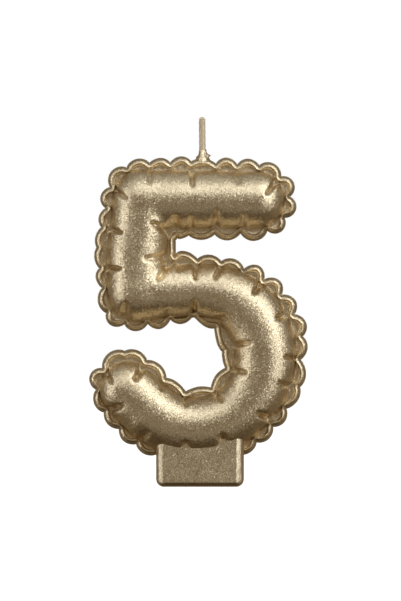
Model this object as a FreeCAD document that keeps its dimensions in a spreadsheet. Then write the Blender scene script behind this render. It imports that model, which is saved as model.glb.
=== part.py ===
"""Number birthday candle: a wax numeral 5 shaped like an inflated foil balloon.

The numeral is one casting: a puffed stroke standing out of a thin scalloped flange,
which follows the mould's parting plane (y = 0).  A rectangular foot block is keyed
into the bowl.  The wick, three twisted cotton yarns in a coat of wax, runs down into
the top bar, and a small wax bead seals it where it comes out.

Frame, in millimetres: origin at the centre of the foot's underside, +X to the
numeral's right as it is read, -Y towards its reader, +Z up along the wick.
"""

import FreeCAD, Part
import math
import os

import Sketcher

V = FreeCAD.Vector

# alias: (value, meaning), lengths in millimetres and angles in degrees
DIMENSIONS = {
    "bar_radius": (6.8, "top bar, half its height"),
    "bar_height": (65.35, "top bar, centre line above the underside"),
    "bar_end": (12.9, "top bar, centre of its round end"),
    "stem_radius": (7.1, "upright stem, half its width"),
    "stem_foot": (-14.3, "upright stem, centre line at the waist"),
    "stem_lean": (3.0, "upright stem, leans to the right going up"),
    "bowl_across": (-0.8, "bowl, centre"),
    "bowl_height": (28.9, "bowl, centre above the underside"),
    "bowl_radius": (15.6, "bowl, radius of its centre line"),
    "bowl_thick": (6.9, "waist and bowl, half their stroke's width"),
    "bowl_sweep": (222.0, "bowl, angle that it turns through"),
    "hook_length": (7.2, "straight hook after the bowl"),
    "hook_tip": (6.6, "radius of the hook's round end"),
    "flange_half": (1.9, "from the parting plane to the flange's face"),
    "flange_draft": (0.5, "inward taper of the flange's edge towards its face"),
    "foot_width": (20.0, "foot block, across"),
    "foot_depth": (9.8, "foot block, front to back"),
    "foot_height": (11.0, "foot block, underside to the top of its key"),
    "foot_corner": (1.7, "rounding of the foot's lower corners"),
    "foot_edge": (0.9, "bevel of the foot's face edges"),
    "wick_across": (0.6, "the wick's axis"),
    "wick_bottom": (60.8, "where the wick starts inside the top bar"),
    "wick_top": (84.2, "tip of the wick"),
    "coat_radius": (0.7, "outside of the wick's wax coat"),
    "coat_wall": (0.1, "thickness of the wick's wax coat"),
    "coat_cap": (0.5, "wax over the ends of the yarns"),
    "yarn_radius": (0.25, "one cotton yarn"),
    "yarn_orbit": (0.31, "from the wick's axis to a yarn's centre"),
    "yarn_pitch": (4.4, "length of one turn of the twist"),
    "yarn_end_gap": (0.1, "from a yarn's end to the wax round it"),
    "bead_bottom": (73.4, "base of the wax bead, sunk in the flange"),
    "bead_top": (77.2, "where the bead runs out on the wick"),
    "bead_base": (1.6, "radius of the bead's base"),
    "bead_neck": (0.9, "radius of the bead's top"),
    "cast_gap": (0.01, "allowance between wax surfaces that are cast together"),
}

# The flange's edge, clockwise from the top bar's left end: the notch (x, z) where each
# stretch of scallops starts, how many it has, and how far the first and the last of them
# stand out of its line.
STRETCHES = {
    "top_left": (-16.7, 72.6, 3, 1.1, 1.3),
    "wick": (-2.0, 74.0, 1, 0.95, 0.95),
    "top_right": (3.6, 73.5, 3, 1.5, 1.4),
    "bar_end": (18.4, 70.6, 3, 1.7, 1.7),
    "bar_under": (15.3, 58.4, 4, 1.85, 0.8),
    "counter": (-5.6, 56.3, 1, 0.1, 0.1),
    "waist_top": (-5.5, 52.9, 1, 1.2, 1.2),
    "waist_middle": (-0.6, 51.8, 2, 1.1, 1.3),
    "shoulder": (10.0, 49.5, 4, 2.1, 1.7),
    "bowl_upper": (23.3, 34.2, 1, 1.25, 1.25),
    "bowl_right": (22.8, 28.9, 1, 1.15, 1.15),
    "bowl_turn": (22.7, 22.7, 1, 1.05, 1.05),
    "bowl_lower": (19.6, 17.8, 3, 1.35, 1.1),
    "bowl_under": (8.4, 7.5, 4, 0.8, 0.8),
    "bowl_left": (-9.9, 7.4, 3, 1.05, 1.2),
    "hook_under": (-21.8, 16.9, 1, 0.95, 0.95),
    "hook_end": (-23.6, 22.1, 1, 1.85, 1.85),
    "hook_corner": (-22.2, 26.9, 1, 1.2, 1.2),
    "hook_top": (-17.2, 30.8, 1, 0.8, 0.8),
    "bowl_inner": (-12.1, 28.7, 2, 1.25, 0.95),
    "bowl_floor": (-3.3, 21.6, 2, 1.15, 1.35),
    "bowl_back": (5.8, 27.0, 1, 0.5, 0.5),
    "bowl_roof": (5.1, 30.8, 1, 1.15, 1.15),
    "bowl_top": (3.3, 36.1, 1, 1.25, 1.25),
    "waist_under": (-1.6, 39.0, 2, 1.45, 1.8),
    "low_notch": (-11.9, 37.2, 1, 1.25, 1.25),
    "low_corner": (-17.2, 37.1, 1, 1.5, 1.5),
    "stem_foot": (-21.3, 39.6, 1, 1.0, 1.0),
    "stem_low": (-22.2, 45.3, 2, 1.25, 0.75),
    "stem_high": (-23.5, 54.5, 3, 0.8, 1.5),
    "top_corner": (-20.4, 68.2, 1, 1.6, 1.6),
}
STRETCH_FIELDS = ("x", "z", "scallops", "first_rise", "last_rise")
YARNS = 3
SEAM_STEPS = 4000  # points that stand for the stroke's side while the notches are placed
SEAM_OFFSET = 0.6  # how far from the stroke's side those points run

doc = FreeCAD.newDocument("number_candle")


# ---------------------------------------------------------------- the sheet

def make_sheet():
    """Puts every driving dimension in a cell with an alias."""
    cells = doc.addObject("Spreadsheet::Sheet", "dims")
    rows = dict(DIMENSIONS)
    for stretch, values in STRETCHES.items():
        for field, value in zip(STRETCH_FIELDS, values):
            rows[f"seam_{stretch}_{field}"] = (value, "scalloped flange")
    for row, (alias, (value, meaning)) in enumerate(rows.items(), start=1):
        cells.set(f"A{row}", alias.replace("_", " "))
        cells.set(f"B{row}", str(value))
        cells.setAlias(f"B{row}", alias)
        cells.set(f"C{row}", meaning)
    doc.recompute()
    return cells


def size(alias):
    """A driving dimension, read back from the sheet."""
    return float(getattr(sheet, alias))


def bind(item, **expressions):
    """Binds properties to the sheet; a double underscore in a name stands for a dot."""
    for name, expression in expressions.items():
        item.setExpression(name.replace("__", "."), expression)
    return item


def combine(kind, name, **links):
    """A Part boolean or loft with its linked shapes."""
    item = doc.addObject(kind, name)
    for prop, value in links.items():
        setattr(item, prop, value)
    return item


# ---------------------------------------------------------------- the puffed stroke

def along_x(name, radius, start, end, height):
    """A tube of the stroke lying along X, from one sheet expression to another."""
    tube = doc.addObject("Part::Cylinder", name)
    tube.Placement.Rotation = FreeCAD.Rotation(V(0, 1, 0), 90)
    return bind(tube, Radius=radius, Height=f"({end}) - ({start})",
                Placement__Base__x=start, Placement__Base__z=height)


def ball(name, radius, x, height):
    """A ball that rounds a corner or an end of the stroke."""
    sphere = doc.addObject("Part::Sphere", name)
    return bind(sphere, Radius=radius, Placement__Base__x=x, Placement__Base__z=height)


def make_stem(bottom):
    """The upright stem, which leans a little to the right."""
    stem = doc.addObject("Part::Cylinder", "stem_tube")
    stem.Placement.Rotation = FreeCAD.Rotation(V(0, 1, 0), 1)
    return bind(stem, Radius="dims.stem_radius",
                Height=f"(dims.bar_height - {bottom}) / cos(dims.stem_lean)",
                Placement__Rotation__Angle="dims.stem_lean",
                Placement__Base__x="dims.stem_foot", Placement__Base__z=bottom)


def make_bowl():
    """The bowl's part ring, which starts at its top and runs clockwise to the hook."""
    ring = doc.addObject("Part::Torus", "bowl_tube")
    up, right, back = V(0, 0, 1), V(1, 0, 0), V(0, 1, 0)
    ring.Placement.Rotation = FreeCAD.Rotation(up, right, back, "XYZ")
    return bind(ring, Radius1="dims.bowl_radius", Radius2="dims.bowl_thick",
                Angle3="dims.bowl_sweep",
                Placement__Base__x="dims.bowl_across", Placement__Base__z="dims.bowl_height")


def make_hook(start_x, start_z):
    """The straight, slightly tapering hook, which carries on along the bowl's tangent."""
    hook = doc.addObject("Part::Cone", "hook_tube")
    hook.Placement.Rotation = FreeCAD.Rotation(V(0, 1, 0), 1)
    return bind(hook, Radius1="dims.bowl_thick", Radius2="dims.hook_tip",
                Height="dims.hook_length",
                Placement__Rotation__Angle="dims.bowl_sweep + 90",
                Placement__Base__x=start_x, Placement__Base__z=start_z)


def make_stroke():
    """The whole stroke of the 5, with its round corners and ends."""
    waist = "(dims.bowl_height + dims.bowl_radius)"
    top_x = f"dims.stem_foot + (dims.bar_height - {waist}) * tan(dims.stem_lean)"
    hook_x = "dims.bowl_across + dims.bowl_radius * sin(dims.bowl_sweep)"
    hook_z = "dims.bowl_height + dims.bowl_radius * cos(dims.bowl_sweep)"
    tip_x = f"{hook_x} + dims.hook_length * cos(dims.bowl_sweep)"
    tip_z = f"{hook_z} - dims.hook_length * sin(dims.bowl_sweep)"
    pieces = [
        along_x("bar_tube", "dims.bar_radius", top_x, "dims.bar_end", "dims.bar_height"),
        ball("bar_end", "dims.bar_radius", "dims.bar_end", "dims.bar_height"),
        ball("top_corner", "dims.stem_radius", top_x, "dims.bar_height"),
        make_stem(waist),
        ball("low_corner", "dims.stem_radius", "dims.stem_foot", waist),
        along_x("waist_tube", "dims.bowl_thick", "dims.stem_foot", "dims.bowl_across", waist),
        make_bowl(),
        make_hook(hook_x, hook_z),
        ball("hook_end", "dims.hook_tip", tip_x, tip_z),
    ]
    return combine("Part::MultiFuse", "stroke", Shapes=pieces)


# ---------------------------------------------------------------- the scalloped flange

def anchors():
    """The notch where each stretch of scallops starts."""
    return [V(size(f"seam_{name}_x"), 0, size(f"seam_{name}_z")) for name in STRETCHES]


def nearest(points, target):
    """The index of the point that is closest to a place."""
    return min(range(len(points)), key=lambda i: points[i].distanceToPoint(target))


def seam_points(stroke):
    """Points all round the stroke's side, clockwise from the first stretch."""
    side = stroke.Shape.slice(V(0, 1, 0), 0)[0]
    seam = Part.Face(side).makeOffset2D(SEAM_OFFSET).OuterWire
    points = seam.discretize(Number=SEAM_STEPS + 1)[:-1]
    first, second = (nearest(points, anchor) for anchor in anchors()[:2])
    if (second - first) % SEAM_STEPS > SEAM_STEPS / 2:
        points.reverse()
        first = SEAM_STEPS - 1 - first
    return points[first:] + points[:first]


def outward_at(points, index):
    """The direction away from the stroke at one of its points."""
    along = points[(index + 1) % SEAM_STEPS] - points[index - 1]
    return V(-along.z, 0, along.x).normalize()


def place_scallops(points):
    """Each notch with the crest after it, and the outward directions at both.

    A notch at the start of a stretch is where the sheet puts it.  Between two of those
    the notches are evenly spaced, and their distance from the stroke changes evenly.
    """
    starts = [nearest(points, anchor) for anchor in anchors()]
    reaches = [(anchor - points[start]).dot(outward_at(points, start))
               for anchor, start in zip(anchors(), starts)]
    starts.append(SEAM_STEPS)
    reaches.append(reaches[0])
    scallops = []
    for k, name in enumerate(STRETCHES):
        count = int(size(f"seam_{name}_scallops"))

        def edge_point(share, rise):
            index = round(starts[k] + (starts[k + 1] - starts[k]) * share) % SEAM_STEPS
            reach = reaches[k] + (reaches[k + 1] - reaches[k]) * share + rise
            outward = outward_at(points, index)
            return points[index] + outward * reach, outward

        first, last = size(f"seam_{name}_first_rise"), size(f"seam_{name}_last_rise")
        for i in range(count):
            notch = edge_point(i / count, 0)
            rise = first + (last - first) * i / max(1, count - 1)
            crest = edge_point((i + 0.5) / count, rise)
            scallops.append((notch, crest))
    return scallops


def flange_section(name, scallops, inset, depth):
    """The flange's outline at one depth, kept as an object so that a loft can use it."""
    rim = [tuple(place - outward * inset for place, outward in pair) for pair in scallops]
    section = doc.addObject("Part::Feature", name)
    section.Shape = Part.Wire([Part.Arc(notch, crest, following).toShape()
                               for (notch, crest), (following, _) in zip(rim, rim[1:] + rim[:1])])
    section.Placement.Base = V(0, depth, 0)
    return section


def make_flange(stroke):
    """The flange, widest on the parting plane and tapering to both of its faces."""
    scallops = place_scallops(seam_points(stroke))
    half, draft = size("flange_half"), size("flange_draft")
    sections = [
        flange_section("flange_front_outline", scallops, draft, -half),
        flange_section("flange_parting_outline", scallops, 0, 0),
        flange_section("flange_back_outline", scallops, draft, half),
    ]
    return combine("Part::Loft", "flange", Sections=sections, Solid=True, Ruled=True)


# ---------------------------------------------------------------- foot block

def attached_sketch(body, name, role):
    """An empty sketch on one of a body's own origin planes."""
    sketch = body.newObject("Sketcher::SketchObject", name)
    plane = next(f for f in body.Origin.OriginFeatures if f.Role == role)
    sketch.AttachmentSupport = (plane, [""])
    sketch.MapMode = "FlatFace"
    return sketch


def name_and_bind(sketch, index, name, expression):
    """Names a constraint and drives it from the sheet."""
    sketch.renameConstraint(index, name)
    sketch.setExpression(f"Constraints.{name}", expression)


def foot_outline(body):
    """The foot's front view: square on top, with rounded lower corners."""
    sketch = attached_sketch(body, "foot_outline", "XZ_Plane")
    half, top, corner = size("foot_width") / 2, size("foot_height"), size("foot_corner")

    def line(x1, z1, x2, z2):
        return sketch.addGeometry(Part.LineSegment(V(x1, z1, 0), V(x2, z2, 0)))

    def lower_corner(x, first_quarter):
        circle = Part.Circle(V(x, corner, 0), V(0, 0, 1), corner)
        start = first_quarter * math.pi / 2
        return sketch.addGeometry(Part.ArcOfCircle(circle, start, start + math.pi / 2))

    left = line(-half, top, -half, corner)
    left_arc = lower_corner(-half + corner, 2)
    under = line(-half + corner, 0, half - corner, 0)
    right_arc = lower_corner(half - corner, 3)
    right = line(half, corner, half, top)
    crown = line(half, top, -half, top)
    x_axis, z_axis, origin = -1, -2, (-1, 1)
    rule = Sketcher.Constraint
    chain = [left, left_arc, under, right_arc, right]
    for before, after in zip(chain, chain[1:]):
        sketch.addConstraint(rule("Tangent", before, 2, after, 1))
    sketch.addConstraint(rule("Coincident", right, 2, crown, 1))
    sketch.addConstraint(rule("Coincident", crown, 2, left, 1))
    sketch.addConstraint(rule("Horizontal", under))
    sketch.addConstraint(rule("Equal", left_arc, right_arc))
    sketch.addConstraint(rule("PointOnObject", under, 1, x_axis))
    sketch.addConstraint(rule("Symmetric", crown, 1, crown, 2, z_axis))
    across = sketch.addConstraint(rule("DistanceX", crown, 2, crown, 1, 2 * half))
    tall = sketch.addConstraint(rule("DistanceY", *origin, crown, 2, top))
    rounding = sketch.addConstraint(rule("Radius", left_arc, corner))
    name_and_bind(sketch, across, "across", "dims.foot_width")
    name_and_bind(sketch, tall, "tall", "dims.foot_height")
    name_and_bind(sketch, rounding, "corner", "dims.foot_corner")
    return sketch


def make_foot():
    """The block that goes into the cake; its upper end is keyed into the bowl."""
    body = doc.addObject("PartDesign::Body", "foot_block")
    pad = body.newObject("PartDesign::Pad", "foot_pad")
    pad.Profile = foot_outline(body)
    pad.Midplane = True
    pad.setExpression("Length", "dims.foot_depth")
    doc.recompute()
    face_depth = size("foot_depth") / 2
    tolerance = 1e-4

    def rims_a_face(edge):
        box = edge.BoundBox
        flat_on_face = box.YLength < tolerance and abs(abs(box.YMin) - face_depth) < tolerance
        return flat_on_face and box.ZMin < size("foot_height") - tolerance

    edges = [f"Edge{i}" for i, e in enumerate(pad.Shape.Edges, start=1) if rims_a_face(e)]
    bevel = body.newObject("PartDesign::Chamfer", "foot_bevel")
    bevel.Base = (pad, edges)
    bevel.setExpression("Size", "dims.foot_edge")
    body.Tip = bevel
    return body


# ---------------------------------------------------------------- wick and its bead

def make_coat():
    """The wax round the wick: a thin sleeve with a domed tip and a closed lower end."""
    body = doc.addObject("PartDesign::Body", "wick_wax_coat")
    bind(body, Placement__Base__x="dims.wick_across")
    sketch = attached_sketch(body, "coat_profile", "XZ_Plane")
    radius, wall, cap = size("coat_radius"), size("coat_wall"), size("coat_cap")
    bottom, top = size("wick_bottom"), size("wick_top")
    bore, shoulder = radius - wall, top - radius
    dome = radius * math.sqrt(0.5)
    corners = [(bore, top - cap - bore), (bore, bottom + cap), (0, bottom + cap), (0, bottom),
               (radius, bottom), (radius, shoulder), (0, top), (0, top - cap)]
    edges = []
    for (x1, z1), (x2, z2) in zip(corners, corners[1:] + corners[:1]):
        start, end = V(x1, z1, 0), V(x2, z2, 0)
        is_dome = (x1, z1) == (radius, shoulder)
        edges.append(Part.Arc(start, V(dome, shoulder + dome, 0), end) if is_dome
                     else Part.LineSegment(start, end))
    ids = sketch.addGeometry(edges)
    for before, after in zip(ids, ids[1:] + ids[:1]):
        sketch.addConstraint(Sketcher.Constraint("Coincident", before, 2, after, 1))
    turned = body.newObject("PartDesign::Revolution", "coat_turned")
    turned.Profile = sketch
    turned.ReferenceAxis = (sketch, ["V_Axis"])
    turned.Angle = 360
    body.Tip = turned
    return body


def make_yarn(number):
    """One cotton yarn of the wick, laid with the others in a long twist."""
    inside = "(dims.coat_cap + dims.yarn_end_gap)"
    bore = "(dims.coat_radius - dims.coat_wall)"
    path = doc.addObject("Part::Helix", f"yarn_{number}_path")
    bind(path, Radius="dims.yarn_orbit", Pitch="dims.yarn_pitch",
         Height=f"dims.wick_top - dims.wick_bottom - 2 * {inside} - {bore}")
    section = doc.addObject("Part::Circle", f"yarn_{number}_section")
    bind(section, Radius="dims.yarn_radius", Placement__Base__x="dims.yarn_orbit")
    yarn = combine("Part::Sweep", f"wick_yarn_{number}", Sections=[section],
                   Spine=(path, ["Edge1"]), Solid=True, Frenet=True)
    yarn.Placement.Rotation = FreeCAD.Rotation(V(0, 0, 1), 360 * (number - 1) / YARNS)
    return bind(yarn, Placement__Base__x="dims.wick_across",
                Placement__Base__z=f"dims.wick_bottom + {inside}")


def wick_channel(name):
    """The room that the coated wick takes, with the casting allowance."""
    hole = doc.addObject("Part::Cylinder", name)
    return bind(hole, Radius="dims.coat_radius + dims.cast_gap",
                Height="dims.wick_top - dims.wick_bottom + dims.cast_gap",
                Placement__Base__x="dims.wick_across",
                Placement__Base__z="dims.wick_bottom - dims.cast_gap")


def bead_cone(name):
    """The tapered outside of the wax bead at the wick's foot."""
    cone = doc.addObject("Part::Cone", name)
    return bind(cone, Radius1="dims.bead_base", Radius2="dims.bead_neck",
                Height="dims.bead_top - dims.bead_bottom",
                Placement__Base__x="dims.wick_across",
                Placement__Base__z="dims.bead_bottom")


# ---------------------------------------------------------------- the casting

def make_numeral(foot):
    """The casting: stroke and flange, with the rooms of the foot, the bead and the wick."""
    stroke = make_stroke()
    doc.recompute()
    solid = combine("Part::Fuse", "numeral_solid", Base=stroke, Tool=make_flange(stroke))
    rooms = combine("Part::MultiFuse", "numeral_rooms",
                    Shapes=[foot, bead_cone("bead_room"), wick_channel("wick_room")])
    return combine("Part::Cut", "numeral_body", Base=solid, Tool=rooms)


# ---------------------------------------------------------------- build and write

def check(items):
    """Stops the build if any object failed or any sub-part isn't one closed solid."""
    for item in doc.Objects:
        if "Invalid" in item.State or "Error" in item.State:
            raise RuntimeError(f"{item.Name} did not build: {item.State}")
    for item in items:
        shape = item.Shape
        if shape.isNull() or not shape.isValid() or len(shape.Solids) != 1:
            raise RuntimeError(f"{item.Label} is not one valid solid: {shape}")


sheet = make_sheet()
foot = make_foot()
bead = combine("Part::Cut", "wick_seal_bead", Base=bead_cone("bead_outside"),
               Tool=wick_channel("bead_hole"))
subparts = [make_numeral(foot), foot, bead, make_coat()]
subparts += [make_yarn(number) for number in range(1, YARNS + 1)]
doc.recompute()
check(subparts)
os.makedirs("parts", exist_ok=True)
for item in subparts:
    item.Shape.exportStep(os.path.join("parts", f"{item.Label}.step"))
    box = item.Shape.BoundBox
    print(f"{item.Label}: {item.Shape.Volume:.2f} mm3,"
          f" x {box.XMin:.2f}..{box.XMax:.2f}, y {box.YMin:.2f}..{box.YMax:.2f},"
          f" z {box.ZMin:.2f}..{box.ZMax:.2f}")
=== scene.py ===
"""The looks of the number birthday candle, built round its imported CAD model.

The wax is one closed mesh: a puffed stroke with pinched creases, standing in a
scalloped flange with a raised bead along its edge.  The foot, the waxed wick and the
wax collar at the wick's base are pieces of their own.  Lengths are in millimetres
until a mesh is made, in the CAD frame: +X right, -Y to the reader, +Z up.
"""

import math

import bpy
import numpy as np
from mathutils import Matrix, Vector, geometry


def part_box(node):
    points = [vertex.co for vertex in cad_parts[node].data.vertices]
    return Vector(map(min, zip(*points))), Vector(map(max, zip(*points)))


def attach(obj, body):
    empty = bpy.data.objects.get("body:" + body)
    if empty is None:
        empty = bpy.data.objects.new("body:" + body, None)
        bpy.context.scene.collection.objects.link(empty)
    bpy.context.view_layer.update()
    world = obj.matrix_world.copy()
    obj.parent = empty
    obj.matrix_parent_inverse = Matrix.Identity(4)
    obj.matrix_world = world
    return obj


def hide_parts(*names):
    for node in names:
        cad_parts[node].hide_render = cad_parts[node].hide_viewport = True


MM = 0.001
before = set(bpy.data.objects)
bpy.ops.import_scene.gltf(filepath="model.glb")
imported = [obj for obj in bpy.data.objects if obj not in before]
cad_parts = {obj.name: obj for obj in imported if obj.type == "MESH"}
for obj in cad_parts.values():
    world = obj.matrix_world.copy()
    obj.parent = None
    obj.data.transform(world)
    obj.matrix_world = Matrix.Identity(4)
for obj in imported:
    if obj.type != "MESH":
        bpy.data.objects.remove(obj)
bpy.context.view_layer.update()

# ---------------------------------------------------------------- the stroke

# Straight runs of the stroke: start, end, half width at each end.
BAR = ((-13.05, 65.35), (12.9, 65.35), 6.9, 6.6)
STEM = ((-14.1, 44.6), (-13.05, 65.35), 7.1, 7.0)
STEM_BOW = (53.5, 6.0, 0.7)  # the stem bows to the left: middle height, reach, amount
WAIST = ((-14.2, 44.6), (-0.8, 44.8), 7.0, 6.1)
# The bowl turns clockwise from its top; it is widest at its right.
BOWL_CENTRE = np.array((-0.8, 28.9))
BOWL_STATIONS = [  # degrees turned, radius of the centre line, half width
    (0, 15.85, 6.1),
    (28, 16.1, 6.7),
    (48, 16.2, 7.1),
    (75, 15.9, 7.3),
    (100, 15.5, 7.2),
    (130, 15.2, 6.9),
    (180, 15.2, 6.9),
    (222, 15.8, 7.1),
]
HOOK_TIP = (-16.5, 22.1)
HOOK_TIP_HALF = 6.65
CORNER_BLEND = 10.0  # how widely two strokes melt into each other where they meet

# The scallops, clockwise from the bar's top left.  Each stretch has the notch that it
# starts from, on the parting outline, its number of scallops, and how far its first and
# last crests stand out of the line through its notches.
STRETCHES = {
    "top left": ((-16.7, 72.6), 3, 1.1, 1.3),
    "wick": ((-2.0, 74.0), 1, 0.95, 0.95),
    "top right": ((3.6, 73.5), 3, 1.5, 1.4),
    "bar end": ((18.4, 70.6), 3, 1.7, 1.7),
    "bar under": ((15.3, 58.4), 4, 1.85, 0.8),
    "counter": ((-5.6, 56.3), 1, 0.1, 0.1),
    "waist top": ((-5.5, 52.9), 1, 1.2, 1.2),
    "waist middle": ((-0.6, 51.8), 2, 1.1, 1.3),
    "shoulder": ((10.0, 49.5), 4, 2.1, 1.7),
    "bowl upper": ((23.3, 34.2), 1, 1.25, 1.25),
    "bowl right": ((22.8, 28.9), 1, 1.15, 1.15),
    "bowl turn": ((22.7, 22.7), 1, 1.05, 1.05),
    "bowl lower": ((19.6, 17.8), 3, 1.35, 1.1),
    "bowl under": ((8.4, 7.5), 4, 0.8, 0.8),
    "bowl left": ((-9.9, 7.4), 3, 1.05, 1.2),
    "hook under": ((-21.8, 16.9), 1, 0.95, 0.95),
    "hook end": ((-23.6, 22.1), 1, 1.85, 1.85),
    "hook corner": ((-22.2, 26.9), 1, 1.2, 1.2),
    "hook top": ((-17.2, 30.8), 1, 0.8, 0.8),
    "bowl inner": ((-12.1, 28.7), 2, 1.25, 0.95),
    "bowl floor": ((-3.3, 21.6), 2, 1.15, 1.35),
    "bowl back": ((5.8, 27.0), 1, 0.5, 0.5),
    "bowl roof": ((5.1, 30.8), 1, 1.15, 1.15),
    "bowl top": ((3.3, 36.1), 1, 1.25, 1.25),
    "waist under": ((-1.6, 39.0), 2, 1.45, 1.8),
    "low notch": ((-11.9, 37.2), 1, 1.25, 1.25),
    "low corner": ((-17.2, 37.1), 1, 1.5, 1.5),
    "stem foot": ((-21.3, 39.6), 1, 1.0, 1.0),
    "stem low": ((-22.2, 45.3), 2, 1.25, 0.75),
    "stem high": ((-23.5, 54.5), 3, 0.8, 1.5),
    "top corner": ((-20.4, 68.2), 1, 1.6, 1.6),
}
STATIONS = 24  # mesh columns in one scallop
EVEN_SHARE = 0.2  # how evenly they are spaced; the rest of the way they crowd the notches
LINE_SPOTS = 120  # points that stand for a stretch's line on the stroke's side
EVEN_STEP, EVEN_PASSES = 0.25, 60  # how widely the directions out of the seam are averaged

# Pinched creases: the stretch and how many scallops along it they start, heading in
# degrees (0 to the right, 90 up), length, half width, depth.
CREASES = [
    ("top left", 1.05, -92, 3.6, 0.70, 0.40),
    ("wick", 0.05, -90, 4.1, 0.50, 0.75),
    ("top right", 1.05, -90, 3.2, 0.95, 0.40),
    ("bar end", 0.0, -126, 4.4, 0.50, 1.15),
    ("bar under", 0.9, 90, 3.0, 0.55, 0.50),
    ("bar under", 1.95, 90, 4.6, 0.70, 0.80),
    ("bar under", 2.9, 92, 3.0, 0.60, 0.45),
    ("bar under", 3.5, 92, 3.3, 0.80, 0.60),
    ("bar under", 3.8, 150, 5.0, 0.50, 1.15),
    ("counter", 0.7, -175, 5.4, 0.60, 0.90),
    ("counter", 0.95, -125, 5.6, 0.50, 1.10),
    ("waist top", 0.3, -92, 2.2, 0.70, 0.40),
    ("waist top", 0.92, -90, 4.0, 0.55, 0.75),
    ("waist middle", 1.05, -118, 3.9, 0.60, 0.80),
    ("shoulder", 1.0, -127, 3.4, 0.60, 1.20),
    ("shoulder", 2.85, -155, 2.9, 0.65, 1.00),
    ("bowl right", 0.0, 165, 3.0, 0.55, 0.90),
    ("bowl turn", 0.12, 160, 3.2, 0.60, 0.80),
    ("bowl lower", 0.75, 158, 4.0, 0.60, 1.20),
    ("bowl lower", 2.95, 147, 3.2, 0.60, 1.10),
    ("bowl under", 0.55, 97, 4.4, 0.75, 1.10),
    ("bowl under", 2.55, 90, 3.6, 0.75, 0.80),
    ("bowl left", 1.0, 42, 3.2, 0.70, 0.80),
    ("hook under", 0.0, 14, 3.8, 0.60, 1.20),
    ("hook corner", 0.0, -60, 3.3, 0.50, 0.90),
    ("bowl inner", 0.0, -121, 4.2, 0.60, 1.10),
    ("bowl inner", 1.0, -95, 2.0, 0.60, 0.50),
    ("bowl floor", 0.0, -78, 2.6, 0.60, 0.60),
    ("bowl floor", 1.0, -44, 3.0, 0.55, 0.80),
    ("bowl back", 0.05, -14, 3.6, 0.50, 0.90),
    ("bowl roof", 0.15, 7, 4.4, 0.42, 1.20),
    ("bowl top", 0.1, 33, 3.0, 0.80, 0.80),
    ("waist under", 0.0, 82, 4.0, 0.60, 0.90),
    ("waist under", 1.1, 90, 2.4, 0.90, 0.45),
    ("low corner", 0.0, 92, 4.0, 0.80, 0.90),
    ("stem low", 1.0, -3, 3.5, 0.42, 1.00),
    ("stem high", 1.0, -20, 3.3, 0.42, 1.00),
    ("top corner", 0.0, -39, 4.2, 0.45, 0.90),
]

# A crease's depth times this is its loss of squared height: twice the usual half width.
PINCH = 14.0

POCKET = 0.80  # height of the flange's pocket floors over the parting plane
RIM_DRAFT = 0.42  # from the parting outline in to the rim of the front face
# The bead round the flange's face: distance in from its rim, height over the parting plane.
BEAD_PROFILE = [(0.0, 1.44), (0.10, 1.54), (0.24, 1.66), (0.38, 1.76), (0.52, 1.84),
                (0.62, 1.86), (0.70, 1.74), (0.77, 1.40), (0.82, 0.95)]
BEAD_WIDTH = 0.82
BEAD_LEAST = 0.42  # its width where a notch presses it against the stroke
# The flange's outer wall: share of the way from the rim out to the parting line, height.
WALL_PROFILE = [(0.30, 0.95), (0.70, 0.42), (0.92, 0.10)]
LIP, LIP_HALF = 0.10, 0.07  # reach and half height of the line left by the mould's parting
LEAST_REACH = 0.05  # the parting line never comes closer than this to the stroke's side
CREST_FULLNESS = 0.62  # below 1 makes the crests rounder and the notches narrower
NOTCH_ROUNDING = 0.14  # share of the rise that rounds the bottom of a notch
NORMAL_PASSES = 3  # how widely the directions across the flange's edge are averaged
FILLET = 0.2  # between the flange and the stroke, as a difference of squared heights
LEAST_FLOOR = 0.12  # the pocket floors are never narrower than this
FLOOR_ROWS = (0.35, 0.7, 1.0)  # mesh rows across a pocket floor, as shares of its width

SIDE_RINGS = 12  # mesh rows up the stroke's steep side
RING_DEPTH = 2.9  # how far in from the stroke's side those rows reach
RING_FOLLOWS = 0.5  # how much of the pocket floor's inset the last of them follows
RING_CROWDING = 1.7  # above 1 they crowd the side
CROWN_SPACING = 0.42  # between mesh points on top of the stroke
CROWN_CLEAR = 0.6  # least distance from those points to the last row, in spacings

NUDGE = 0.02  # step for measuring slopes
SIDE_PASSES = 12  # corrections that move a point to the stroke's side
LONGEST_MOVE, LEAST_SLOPE_SQUARED = 1.5, 4.0  # limits of one of them
HALVINGS = 24  # of the range in which the pocket floor's inner edge is searched
INSET_RANGE = (-0.5, 2.4)


def to_segment(points, run):
    """Distance from a straight run's centre line, and the half width beside each point."""
    start, end, half_start, half_end = run
    start, end = np.array(start), np.array(end)
    along = end - start
    share = np.clip((points - start) @ along / (along @ along), 0, 1)
    distance = np.linalg.norm(points - start - share[:, None] * along, axis=1)
    return distance, half_start + (half_end - half_start) * share


def bowl_line(turned):
    """Radius of the bowl's centre line and its half width, so many degrees from its top."""
    angles, radii, halves = zip(*BOWL_STATIONS)
    return np.interp(turned, angles, radii), np.interp(turned, angles, halves)


def bowl_point(turned):
    """A point on the bowl's centre line."""
    a = math.radians(turned)
    return BOWL_CENTRE + bowl_line(turned)[0] * np.array((math.sin(a), math.cos(a)))


BOWL_SWEEP = BOWL_STATIONS[-1][0]
HOOK = (bowl_point(BOWL_SWEEP), HOOK_TIP, BOWL_STATIONS[-1][2], HOOK_TIP_HALF)


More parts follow.
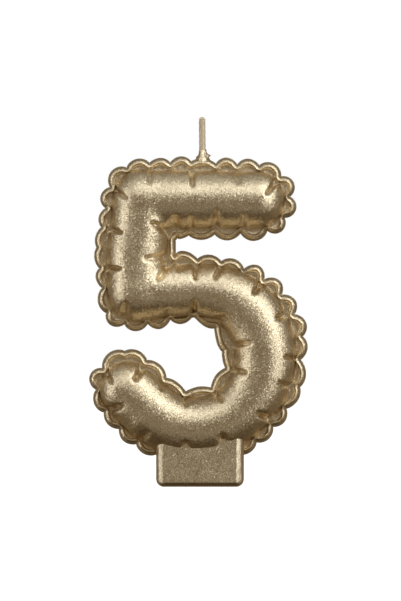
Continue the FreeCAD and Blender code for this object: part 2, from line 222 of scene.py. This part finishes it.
def to_bowl(points):
    """Distance from the bowl's centre line, and the half width beside each point."""
    offset = points - BOWL_CENTRE
    turned = np.degrees(np.arctan2(offset[:, 0], offset[:, 1])) % 360
    radius, half = bowl_line(turned)
    distance = np.abs(np.linalg.norm(offset, axis=1) - radius)
    to_start = np.linalg.norm(points - bowl_point(0), axis=1)
    to_end = np.linalg.norm(points - bowl_point(BOWL_SWEEP), axis=1)
    past = turned > BOWL_SWEEP
    distance = np.where(past, np.minimum(to_start, to_end), distance)
    half = np.where(past & (to_start < to_end), BOWL_STATIONS[0][2], half)
    return distance, half


def smooth_max(a, b, width):
    """The larger of two values, with a rounded change-over."""
    near = np.maximum(width - np.abs(a - b), 0) / width
    return np.maximum(a, b) + near * near * width / 4


def plump(points):
    """The square of the stroke's height over the parting plane, without its creases."""
    def square(distance, half):
        return half * half - distance * distance

    height, reach, amount = STEM_BOW
    bow = amount * np.exp(-((points[:, 1] - height) / reach) ** 2)
    stem = square(*to_segment(points + np.stack([bow, 0 * bow], axis=1), STEM))
    bar, waist, hook = (square(*to_segment(points, run)) for run in (BAR, WAIST, HOOK))
    curved = smooth_max(smooth_max(waist, square(*to_bowl(points)), 1.5), hook, 1.5)
    return smooth_max(smooth_max(bar, stem, CORNER_BLEND), curved, CORNER_BLEND)


def slope(points):
    """The gradient of the plain stroke's squared height."""
    return np.stack([(plump(points + step) - plump(points - step)) / (2 * NUDGE)
                     for step in (np.array((NUDGE, 0)), np.array((0, NUDGE)))], axis=1)


def outward(points):
    """Unit directions that lead straight away from the stroke."""
    downhill = -slope(points)
    return downhill / np.linalg.norm(downhill, axis=1)[:, None]


def onto_side(points):
    """Moves points to the stroke's side, where its height is nothing."""
    for _ in range(SIDE_PASSES):
        uphill = slope(points)
        move = -plump(points)[:, None] * uphill
        move /= np.maximum((uphill ** 2).sum(1), LEAST_SLOPE_SQUARED)[:, None]
        size = np.linalg.norm(move, axis=1)[:, None]
        points = points + move * np.minimum(1, LONGEST_MOVE / np.maximum(size, 1e-9))
    return points


def resample(line, shares):
    """Points at the given shares of a line's length."""
    steps = np.linalg.norm(np.diff(line, axis=0), axis=1)
    length = np.concatenate(([0], np.cumsum(steps)))
    return np.stack([np.interp(shares * length[-1], length, line[:, i]) for i in (0, 1)], axis=1)


def stretch_line(name):
    """A stretch's line on the stroke's side, and how far out its two end notches are."""
    names = list(STRETCHES)
    following = names[(names.index(name) + 1) % len(names)]
    ends = np.array((STRETCHES[name][0], STRETCHES[following][0]))
    on_side = onto_side(ends)
    reach = ((ends - on_side) * outward(on_side)).sum(1)
    share = np.linspace(0, 1, LINE_SPOTS)[:, None]
    return onto_side(ends[0] * (1 - share) + ends[1] * share), reach


def even_directions(place):
    """Directions out of the seam, averaged along it so the flange can't fold in corners."""
    steps = np.linalg.norm(np.roll(place, -1, 0) - place, axis=1)
    total = steps.sum()
    at = np.cumsum(steps) - steps
    even = np.arange(0, total, EVEN_STEP)
    direct = outward(place).T
    smooth = np.array([np.interp(even, at, part, period=total) for part in direct])
    for _ in range(EVEN_PASSES):
        smooth = smooth / 2 + (np.roll(smooth, 1, 1) + np.roll(smooth, -1, 1)) / 4
    direct = np.stack([np.interp(at, even, part, period=total) for part in smooth], axis=1)
    return direct / np.linalg.norm(direct, axis=1)[:, None]


def seam_stations():
    """Mesh columns round the seam: place, outward direction, notch reach, rise, scallop share."""
    places, notches, rises, shares = [], [], [], []
    for name, (_, count, first, last) in STRETCHES.items():
        line, reach = stretch_line(name)
        step = np.arange(STATIONS) / STATIONS
        eased = EVEN_SHARE * step + (1 - EVEN_SHARE) * (1 - np.cos(math.pi * step)) / 2
        along = (np.arange(count)[:, None] + eased[None, :]).ravel() / count
        places.append(resample(line, along))
        notches.append(reach[0] + (reach[1] - reach[0]) * along)
        rises.append(np.repeat(np.linspace(first, last, count), STATIONS))
        shares.append(np.tile(eased, count))
    place = np.concatenate(places)
    return place, even_directions(place), *(np.concatenate(v) for v in (notches, rises, shares))


def crease_lines():
    """Each crease's start on the stroke's side, direction, length, half width and depth."""
    lines = []
    for name, scallops, heading, length, half, depth in CREASES:
        line, _ = stretch_line(name)
        start = resample(line, np.array([scallops / STRETCHES[name][1]]))[0]
        turn = math.radians(heading)
        lines.append((start, np.array((math.cos(turn), math.sin(turn))), length, half, depth))
    return lines


CREASE_LINES = crease_lines()


def pinches(points):
    """How deep the creases are, in millimetres, at each point."""
    total = np.zeros(len(points))
    for start, heading, length, half, depth in CREASE_LINES:
        offset = points - start
        share = offset @ heading / length
        across = offset @ np.array((-heading[1], heading[0]))
        # It runs out softly round its far end, and starts a little outside the stroke.
        fade = np.clip((1.12 - share) / 0.35, 0, 1)
        fade = fade * fade * (3 - 2 * fade)
        start_fade = np.clip((share + 0.9) / 0.5, 0, 1)
        # It is widest where it starts.
        width = half * (0.8 + 0.5 * np.clip(1 - share, 0, 1.5))
        total = np.maximum(total, depth * fade * start_fade * np.exp(-(across / width) ** 2))
    return total


def height_squared(points):
    """The square of the stroke's height, with its creases."""
    return plump(points) - PINCH * pinches(points)


def seam_inset(place, direction):
    """How far inside the plain side each column meets the pocket floor, creases and all."""
    low, high = (np.full(len(place), end) for end in INSET_RANGE)
    for _ in range(HALVINGS):
        middle = (low + high) / 2
        under = height_squared(place - direction * middle[:, None]) < POCKET ** 2
        low, high = np.where(under, middle, low), np.where(under, high, middle)
    return (low + high) / 2


def scallop(share):
    """A scallop's outline, from 0 at its rounded notches to 1 at its crest."""
    wave = np.sin(math.pi * share) ** CREST_FULLNESS
    top = math.sqrt(1 + NOTCH_ROUNDING ** 2) - NOTCH_ROUNDING
    return (np.sqrt(wave ** 2 + NOTCH_ROUNDING ** 2) - NOTCH_ROUNDING) / top


def edge_normals(line, direction):
    """Unit normals of a closed line, on the side that the directions point to."""
    along = np.roll(line, -1, 0) - np.roll(line, 1, 0)
    normal = np.stack([-along[:, 1], along[:, 0]], axis=1)
    normal *= np.sign((normal * direction).sum(1))[:, None]
    normal /= np.linalg.norm(normal, axis=1)[:, None]
    for _ in range(NORMAL_PASSES):
        normal = normal / 2 + (np.roll(normal, -1, 0) + np.roll(normal, 1, 0)) / 4
    return normal / np.linalg.norm(normal, axis=1)[:, None]


def numeral_rows():
    """Rows of one half, from the parting line to the crown: lists of (x, z) and height."""
    place, direction, notch, rise, share = seam_stations()
    flat = np.zeros(len(place))

    def off(distance):
        return place + direction * distance[:, None]

    inset = seam_inset(place, direction)
    reach = np.maximum(notch + rise * scallop(share), LEAST_REACH)
    parting = off(reach)
    normal = edge_normals(parting, direction)
    width = np.clip(reach + inset - RIM_DRAFT, BEAD_LEAST, BEAD_WIDTH) / BEAD_WIDTH

    def inwards(distance):
        return parting - normal * (flat + distance)[:, None]

    rows = [(inwards(-LIP), flat), (inwards(0), flat + LIP_HALF)]
    for part, height in reversed(WALL_PROFILE):
        rows.append((inwards(RIM_DRAFT * (1 - part)), flat + height))
    for distance, height in BEAD_PROFILE:
        rows.append((inwards(RIM_DRAFT + distance * width), flat + height))
    inner = rows[-1][0] - place  # the bead's inner edge
    inner_reach = (inner * direction).sum(1)
    sideways = inner - direction * inner_reach[:, None]
    seam = np.minimum(-inset, inner_reach - LEAST_FLOOR)
    for part in FLOOR_ROWS:
        spots = off(inner_reach + (seam - inner_reach) * part) + sideways * (1 - part)
        rows.append((spots, flat + POCKET))
    last = -(RING_DEPTH + RING_FOLLOWS * inset)
    for ring in range(1, SIDE_RINGS + 1):
        spots = off(seam + (last - seam) * (ring / SIDE_RINGS) ** RING_CROWDING)
        rows.append((spots, flat + POCKET))
    return [(spots, np.where(height < POCKET, height, over_stroke(spots, height)))
            for spots, height in rows]


def over_stroke(spots, height):
    """The height of the flange, or of the stroke where that stands higher."""
    return np.sqrt(smooth_max(height_squared(spots), height ** 2, FILLET))


def crown_mesh(ring):
    """Triangles inside the last ring: extra points and faces that index ring then points."""
    low, high = ring.min(0), ring.max(0)
    across = np.arange(low[0], high[0], CROWN_SPACING)
    levels = np.arange(low[1], high[1], CROWN_SPACING * math.sqrt(3) / 2)
    grid = np.concatenate([
        np.stack([across + (i % 2) * CROWN_SPACING / 2, np.full(len(across), z)], axis=1)
        for i, z in enumerate(levels)])
    grid = grid[plump(grid) > 0]
    gap = np.full(len(grid), np.inf)
    inside = np.zeros(len(grid), bool)
    ends = np.roll(ring, -1, axis=0)
    for (x1, z1), (x2, z2) in zip(ring, ends):
        gap = np.minimum(gap, (grid[:, 0] - x1) ** 2 + (grid[:, 1] - z1) ** 2)
        if z1 != z2:
            crosses = (z1 > grid[:, 1]) != (z2 > grid[:, 1])
            at = x1 + (grid[:, 1] - z1) * (x2 - x1) / (z2 - z1)
            inside ^= crosses & (grid[:, 0] < at)
    grid = grid[inside & (gap > (CROWN_CLEAR * CROWN_SPACING) ** 2)]
    count = len(ring)
    points = [Vector(p) for p in np.concatenate((ring, grid))]
    border = [(i, (i + 1) % count) for i in range(count)]
    spots, _, faces, origin, _, _ = geometry.delaunay_2d_cdt(points, border, [], 1, 1e-6)
    names = [o[0] for o in origin]
    return grid, [[names[i] for i in face] for face in faces]


def sharpen(item, pairs):
    """Makes mesh edges sharp, given as pairs of point numbers."""
    wanted = {frozenset(pair) for pair in pairs}
    for edge in item.data.edges:
        edge.use_edge_sharp = frozenset(edge.vertices) in wanted


def add_object(name, data):
    """Puts new data into the scene as an object."""
    item = bpy.data.objects.new(name, data)
    bpy.context.scene.collection.objects.link(item)
    return item


def ring_faces(rings, around, turned=False):
    """Quads between closed rings of points; turned makes them face the other way."""
    faces = []
    for ring in range(rings - 1):
        here, there = ring * around, (ring + 1) * around
        for i in range(around):
            j = (i + 1) % around
            if turned:
                faces.append((here + i, there + i, there + j, here + j))
            else:
                faces.append((here + i, here + j, there + j, there + i))
    return faces


def make_object(name, points, faces):
    """A smooth mesh object from points in millimetres."""
    mesh = bpy.data.meshes.new(name)
    mesh.from_pydata([tuple(p) for p in np.asarray(points) * MM], [], faces)
    mesh.validate()
    mesh.update()
    mesh.polygons.foreach_set("use_smooth", [True] * len(mesh.polygons))
    return add_object(name, mesh)


def make_numeral():
    """The whole wax casting: both halves, joined along the parting line."""
    rows = numeral_rows()
    count = len(rows[0][0])
    grid, crown = crown_mesh(rows[-1][0])
    crown_height = np.sqrt(np.maximum(height_squared(grid), POCKET ** 2))
    flat = np.concatenate([spots for spots, _ in rows] + [grid])
    height = np.concatenate([h for _, h in rows] + [crown_height])
    front = np.stack([flat[:, 0], -height, flat[:, 1]], axis=1)
    back = front[count:] * np.array((1, -1, 1))
    last = (len(rows) - 1) * count
    faces = ring_faces(len(rows), count, turned=True)
    faces += [[last + i for i in face] for face in crown]
    total = len(front)
    mirrored = [[i if i < count else i - count + total for i in reversed(face)]
                for face in faces]
    numeral = make_object("numeral_wax", np.concatenate((front, back)), faces + mirrored)
    seam = (len(rows) - 1 - SIDE_RINGS) * count
    corner = [(seam + i, seam + (i + 1) % count) for i in range(count)]
    sharpen(numeral, corner + [(a - count + total, b - count + total) for a, b in corner])
    return numeral


# ---------------------------------------------------------------- foot

FOOT_CORNER = 1.8  # radius of its lower corners
# From the middle of the foot's edge to its face: inset of the outline, distance below the
# face.  A soft shoulder, then the bevel that frames the face.
FOOT_PROFILE = [(0.0, 4.9), (0.0, 2.20), (0.06, 1.78), (0.20, 1.32), (0.42, 0.92),
                (0.66, 0.62), (0.78, 0.52), (1.54, 0.08), (1.68, 0.02), (1.85, 0.0),
                (2.10, 0.0)]
BOTTOM_BEVEL = 0.6  # the bevel's width along the underside over its width up the sides
LEAST_CORNER = 0.25  # radius of the innermost corners
CORNER_STEPS = 10


def make_foot():
    """The foot: a block with a bevelled frame round its face and rounded corners."""
    half_wide, half_deep, top = np.array(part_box("foot_block")[1]) / MM

    def outline(inset):
        corner = max(FOOT_CORNER - inset, LEAST_CORNER)
        wide, bottom = half_wide - inset, BOTTOM_BEVEL * inset
        spots = [(-wide, top)]
        for centre_x, start in ((-wide + corner, math.pi), (wide - corner, 1.5 * math.pi)):
            for step in range(CORNER_STEPS + 1):
                turn = start + math.pi / 2 * step / CORNER_STEPS
                spots.append((centre_x + corner * math.cos(turn),
                              bottom + corner + corner * math.sin(turn)))
        spots.append((wide, top))
        return spots

    count = len(outline(0))
    rows = [(inset, -(half_deep - below)) for inset, below in reversed(FOOT_PROFILE)]
    rows += [(inset, half_deep - below) for inset, below in FOOT_PROFILE[1:]]
    points = [(x, y, z) for inset, y in rows for x, z in outline(inset)]
    faces = ring_faces(len(rows), count, turned=True)
    faces.append(list(range(count)))
    faces.append(list(reversed(range((len(rows) - 1) * count, len(rows) * count))))
    foot = make_object("foot_wax", points, faces)
    foot.data.set_sharp_from_angle(angle=math.radians(50))
    return foot


# ---------------------------------------------------------------- wick

WICK_LEAN = -0.12  # how far the wick's tip bends to the left
WICK_RADIUS, WICK_RIDGE = 0.73, 0.025  # the ridges are the yarns under the wax
WICK_PITCH = 4.4  # length of one turn of their twist
WICK_TIP = 0.6  # length of the rounded tip
WICK_COLUMNS, WICK_STEP, TIP_ROWS = 36, 0.08, 8  # its mesh


def make_wick():
    """The waxed wick: three twisted yarns that show as ridges through their coat."""
    low, high = (np.array(v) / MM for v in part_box("wick_wax_coat"))
    centre_x = (low[0] + high[0]) / 2
    bottom, top = low[2], high[2]
    around, yarns = WICK_COLUMNS, 3
    levels = list(np.arange(bottom, top - WICK_TIP, WICK_STEP))
    levels += [top - WICK_TIP + WICK_TIP * math.sin(a)
               for a in np.linspace(0, math.pi / 2, TIP_ROWS + 1)[:-1]]
    points = []
    for z in levels:
        cap = math.sqrt(max(0.0, 1 - max(0.0, (z - top + WICK_TIP) / WICK_TIP) ** 2))
        for i in range(around):
            turn = 2 * math.pi * i / around
            strand = math.cos(yarns * (turn - 2 * math.pi * z / WICK_PITCH))
            radius = cap * (WICK_RADIUS + WICK_RIDGE * strand)
            lean = WICK_LEAN * ((z - bottom) / (top - bottom)) ** 2
            points.append((centre_x + lean + radius * math.cos(turn),
                           radius * math.sin(turn), z))
    faces = ring_faces(len(levels), around)
    points.append((centre_x + WICK_LEAN, 0, top))
    faces += [((len(levels) - 1) * around + i, (len(levels) - 1) * around + (i + 1) % around,
               len(points) - 1) for i in range(around)]
    faces.append(list(reversed(range(around))))
    return make_object("wick_waxed", points, faces)


# The collar, from its base up: radius, rise.
COLLAR_PROFILE = [(1.55, 0.0), (1.6, 0.6), (1.55, 1.2), (1.35, 1.6), (1.15, 1.85), (1.0, 2.1),
                  (0.92, 2.4), (0.86, 2.8), (0.80, 3.2), (0.70, 3.5)]
COLLAR_COLUMNS = 40
# Thin burrs that the mould left on it: direction in radians, rise, length over its radius.
COLLAR_BURRS = [(0.2, 2.1, 0.95), (3.0, 1.75, 0.30), (4.4, 2.3, 0.35)]
BURR_SPREAD, BURR_HALF = 0.35, 0.28  # radians round the collar, millimetres up it


def make_collar():
    """The uneven wax bead that has run up round the wick's base."""
    low, high = (np.array(v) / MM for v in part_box("wick_seal_bead"))
    centre_x = (low[0] + high[0]) / 2
    around = COLLAR_COLUMNS
    points = []
    for radius, rise in COLLAR_PROFILE:
        for i in range(around):
            turn = 2 * math.pi * i / around
            uneven = 1 + 0.07 * math.sin(3 * turn + 0.7) + 0.05 * math.sin(7 * turn + 2 * rise)
            for side, level, length in COLLAR_BURRS:
                swing = math.remainder(turn - side, 2 * math.pi) / BURR_SPREAD
                uneven += length * math.exp(-swing ** 2 - ((rise - level) / BURR_HALF) ** 2)
            points.append((centre_x + radius * uneven * math.cos(turn),
                           radius * uneven * math.sin(turn), low[2] + rise))
    rings = len(COLLAR_PROFILE)
    faces = ring_faces(rings, around)
    faces.append(list(reversed(range(around))))
    faces.append([(rings - 1) * around + i for i in range(around)])
    return make_object("wick_collar", points, faces)


# ---------------------------------------------------------------- materials

FLAKE_SIZE = 0.17  # millimetres, like the other sizes here
RAISED_FLAKES = 1.6  # how far the most tilted flakes tip
RIPPLE_SIZE = 1.7  # of the uneven lacquer
PATCH_SIZE, GLOSS_VARIES = 4.0, 0.05  # patches of more and less gloss


def new_material(name):
    """An empty node material with its Principled shader."""
    material = bpy.data.materials.new(name)
    material.use_nodes = True
    return material, material.node_tree, material.node_tree.nodes["Principled BSDF"]


def add_noise(tree, coordinates, size, detail=2.0):
    """Noise whose features are about this many millimetres across."""
    noise = tree.nodes.new("ShaderNodeTexNoise")
    noise.inputs["Scale"].default_value = 1 / (size * MM)
    noise.inputs["Detail"].default_value = detail
    tree.links.new(coordinates, noise.inputs["Vector"])
    return noise.outputs["Fac"]


def add_ramp(tree, value, stops):
    """A colour ramp; each stop is (position, colour)."""
    ramp = tree.nodes.new("ShaderNodeValToRGB")
    elements = ramp.color_ramp.elements
    while len(elements) < len(stops):
        elements.new(0.5)
    for element, (position, colour) in zip(elements, stops):
        element.position = position
        element.color = (*colour, 1)
    tree.links.new(value, ramp.inputs["Fac"])
    return ramp.outputs["Color"]


def add_bump(tree, value, distance, strength, normal=None):
    """A bump of this height in millimetres, on top of another one if given."""
    bump = tree.nodes.new("ShaderNodeBump")
    bump.inputs["Distance"].default_value = distance * MM
    bump.inputs["Strength"].default_value = strength
    tree.links.new(value, bump.inputs["Height"])
    if normal:
        tree.links.new(normal, bump.inputs["Normal"])
    return bump.outputs["Normal"]


def add_flakes(tree, coordinates, size, tilt):
    """Metal flakes: the surface normal, tipped a different way in every cell."""
    cells = tree.nodes.new("ShaderNodeTexVoronoi")
    cells.inputs["Scale"].default_value = 1 / (size * MM)
    tree.links.new(coordinates, cells.inputs["Vector"])

    def vector_math(operation, first, second):
        node = tree.nodes.new("ShaderNodeVectorMath")
        node.operation = operation
        tree.links.new(first, node.inputs[0])
        if isinstance(second, tuple):
            node.inputs[1].default_value = second
        else:
            tree.links.new(second, node.inputs[1])
        return node.outputs["Vector"]

    # Most flakes lie nearly flat and a few stand well up, so both a line and a cube.
    centred = vector_math("SUBTRACT", cells.outputs["Color"], (0.5, 0.5, 0.5))
    squared = vector_math("MULTIPLY", centred, centred)
    cubed = vector_math("MULTIPLY", squared, centred)
    flat = vector_math("MULTIPLY", centred, (tilt, tilt, tilt))
    raised = vector_math("MULTIPLY", cubed, (RAISED_FLAKES,) * 3)
    normal = tree.nodes.new("ShaderNodeNewGeometry").outputs["Normal"]
    return vector_math("ADD", normal, vector_math("ADD", flat, raised))


def gold_material(name, deep, light, roughness, tilt, size):
    """Satin gold lacquer over wax: a fine grain of this size, and flakes of this tilt."""
    material, tree, shader = new_material(name)
    place = tree.nodes.new("ShaderNodeTexCoord").outputs["Object"]
    grain = add_noise(tree, place, size, 1.0)
    colour = add_ramp(tree, grain, [(0.32, deep), (0.68, light)])
    tree.links.new(colour, shader.inputs["Base Color"])
    patches = add_noise(tree, place, PATCH_SIZE)
    rough = add_ramp(tree, patches, [(0.3, (roughness - GLOSS_VARIES,) * 3),
                                     (0.7, (roughness + GLOSS_VARIES,) * 3)])
    tree.links.new(rough, shader.inputs["Roughness"])
    flakes = add_flakes(tree, place, FLAKE_SIZE, tilt)
    ripples = add_bump(tree, add_noise(tree, place, RIPPLE_SIZE), 0.06, 0.5, flakes)
    tree.links.new(add_bump(tree, grain, 0.05, 0.6, ripples), shader.inputs["Normal"])
    shader.inputs["Metallic"].default_value = 1.0
    shader.inputs["Coat Weight"].default_value = 0.25
    shader.inputs["Coat Roughness"].default_value = 0.3
    return material


def wick_material():
    """Waxed cotton that has taken some of the gold."""
    material, tree, shader = new_material("waxed_cotton")
    place = tree.nodes.new("ShaderNodeTexCoord").outputs["Object"]
    fibre = add_noise(tree, place, 0.25, 4.0)
    colour = add_ramp(tree, fibre, [(0.3, (0.52, 0.40, 0.25)), (0.7, (0.90, 0.76, 0.55))])
    tree.links.new(colour, shader.inputs["Base Color"])
    tree.links.new(add_bump(tree, fibre, 0.05, 0.5), shader.inputs["Normal"])
    shader.inputs["Roughness"].default_value = 0.5
    shader.inputs["Metallic"].default_value = 0.25
    return material


# ---------------------------------------------------------------- studio

FRAME_TALL = 137.0  # what the picture's height covers at the candle
CAMERA_AWAY = 1500.0
AIM = (0.11, 42.4)  # x and z at the middle of the picture
LIGHT_AWAY = 0.6  # metres, like the lights' own sizes
LIGHT_COLOUR = (0.86, 0.92, 1.0)
# Soft rectangular lights: azimuth (0 in front, 90 at the right) and elevation in degrees,
# width, height, power in watts.
SOFTBOXES = {
    "top": (8, 44, 0.75, 0.40, 1.2),
    "top_left": (-45, 40, 0.45, 0.45, 0.25),
    "top_right": (58, 40, 0.40, 0.45, 0.75),
    "overhead": (0, 80, 0.70, 0.50, 0.3),
    "left": (-72, 5, 0.24, 0.70, 1.0),
    "right": (52, 8, 0.31, 0.60, 1.2),
    "low": (0, -36, 0.80, 0.25, 0.12),
}
# The room in the reflections, from straight down (0) to straight up (1).
REFLECTED_ROOM = [(0.03, (0.05, 0.035, 0.02)), (0.12, (0.13, 0.10, 0.065)),
                  (0.25, (0.20, 0.16, 0.105)), (0.60, (0.20, 0.165, 0.12)),
                  (0.95, (0.21, 0.19, 0.15))]
FLOOR_HALF = 3.0  # metres


def aim_at(item, target):
    """Turns an object's -Z axis to a point."""
    away = Vector(target) - item.location
    item.rotation_euler = away.to_track_quat("-Z", "Y").to_euler()


def make_camera():
    """A long lens straight in front of the numeral."""
    data = bpy.data.cameras.new("camera")
    data.sensor_width = 36.0
    data.lens = data.sensor_width / 2 / (FRAME_TALL / 2 / CAMERA_AWAY)
    data.clip_start, data.clip_end = 0.01, 10
    camera = add_object("camera", data)
    camera.location = Vector((AIM[0], -CAMERA_AWAY, AIM[1])) * MM
    aim_at(camera, Vector((AIM[0], 0, AIM[1])) * MM)
    bpy.context.scene.camera = camera


def softbox(name, azimuth, elevation, wide, tall, power):
    """A rectangular light that faces the candle's middle."""
    data = bpy.data.lights.new(name, "AREA")
    data.shape = "RECTANGLE"
    data.size, data.size_y = wide, tall
    data.energy = power
    data.color = LIGHT_COLOUR
    light = add_object(name, data)
    a, e = math.radians(azimuth), math.radians(elevation)
    centre = Vector((0, 0, AIM[1] * MM))
    towards = Vector((math.sin(a) * math.cos(e), -math.cos(a) * math.cos(e), math.sin(e)))
    light.location = centre + LIGHT_AWAY * towards
    aim_at(light, centre)


def make_studio():
    """A white room for the camera, and a darker, warmer one in the reflections."""
    world = bpy.data.worlds.new("studio")
    bpy.context.scene.world = world
    world.use_nodes = True
    tree = world.node_tree
    background = tree.nodes["Background"]
    white = tree.nodes.new("ShaderNodeBackground")
    white.inputs["Color"].default_value = (1, 1, 1, 1)
    white.inputs["Strength"].default_value = 1.0
    up = tree.nodes.new("ShaderNodeSeparateXYZ")
    tree.links.new(tree.nodes.new("ShaderNodeTexCoord").outputs["Generated"], up.inputs[0])
    level = tree.nodes.new("ShaderNodeMapRange")
    level.inputs["From Min"].default_value = -1
    tree.links.new(up.outputs["Z"], level.inputs["Value"])
    sky = add_ramp(tree, level.outputs["Result"], REFLECTED_ROOM)
    tree.links.new(sky, background.inputs["Color"])
    seen = tree.nodes.new("ShaderNodeLightPath").outputs["Is Camera Ray"]
    mix = tree.nodes.new("ShaderNodeMixShader")
    tree.links.new(seen, mix.inputs["Fac"])
    tree.links.new(background.outputs[0], mix.inputs[1])
    tree.links.new(white.outputs[0], mix.inputs[2])
    tree.links.new(mix.outputs[0], tree.nodes["World Output"].inputs["Surface"])
    for name, values in SOFTBOXES.items():
        softbox(name, *values)


def make_floor():
    """The plain pale floor."""
    corners = [(-1, -1), (1, -1), (1, 1), (-1, 1)]
    mesh = bpy.data.meshes.new("floor")
    mesh.from_pydata([(x * FLOOR_HALF, y * FLOOR_HALF, 0) for x, y in corners], [],
                     [(0, 1, 2, 3)])
    floor = add_object("floor", mesh)
    material, _, shader = new_material("pale_floor")
    shader.inputs["Base Color"].default_value = (0.9, 0.9, 0.89, 1)
    shader.inputs["Roughness"].default_value = 0.9
    shader.inputs["Emission Color"].default_value = (1, 1, 1, 1)
    shader.inputs["Emission Strength"].default_value = 0.9
    mesh.materials.append(material)
    floor.visible_glossy = False
    floor.visible_diffuse = False


def declare(piece, material, slot, *nodes):
    """Gives a piece its material and its place in the frame."""
    piece.data.materials.append(material)
    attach(piece, "root")
    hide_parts(*nodes)


gold = gold_material("gold_lacquer", (0.56, 0.45, 0.28), (0.94, 0.78, 0.53), 0.33, 0.10, 0.20)
foot_gold = gold_material("gold_lacquer_matte", (0.52, 0.42, 0.27), (0.96, 0.80, 0.55), 0.38,
                          0.06, 0.15)
declare(make_numeral(), gold, "gold_wax", "numeral_body")
declare(make_foot(), foot_gold, "gold_wax_matte", "foot_block")
declare(make_collar(), gold, "gold_wax", "wick_seal_bead")
declare(make_wick(), wick_material(), "wick_wax", "wick_wax_coat", "wick_yarn_1",
        "wick_yarn_2", "wick_yarn_3")
make_camera()
make_studio()
make_floor()
bpy.context.scene.view_settings.view_transform = "Standard"
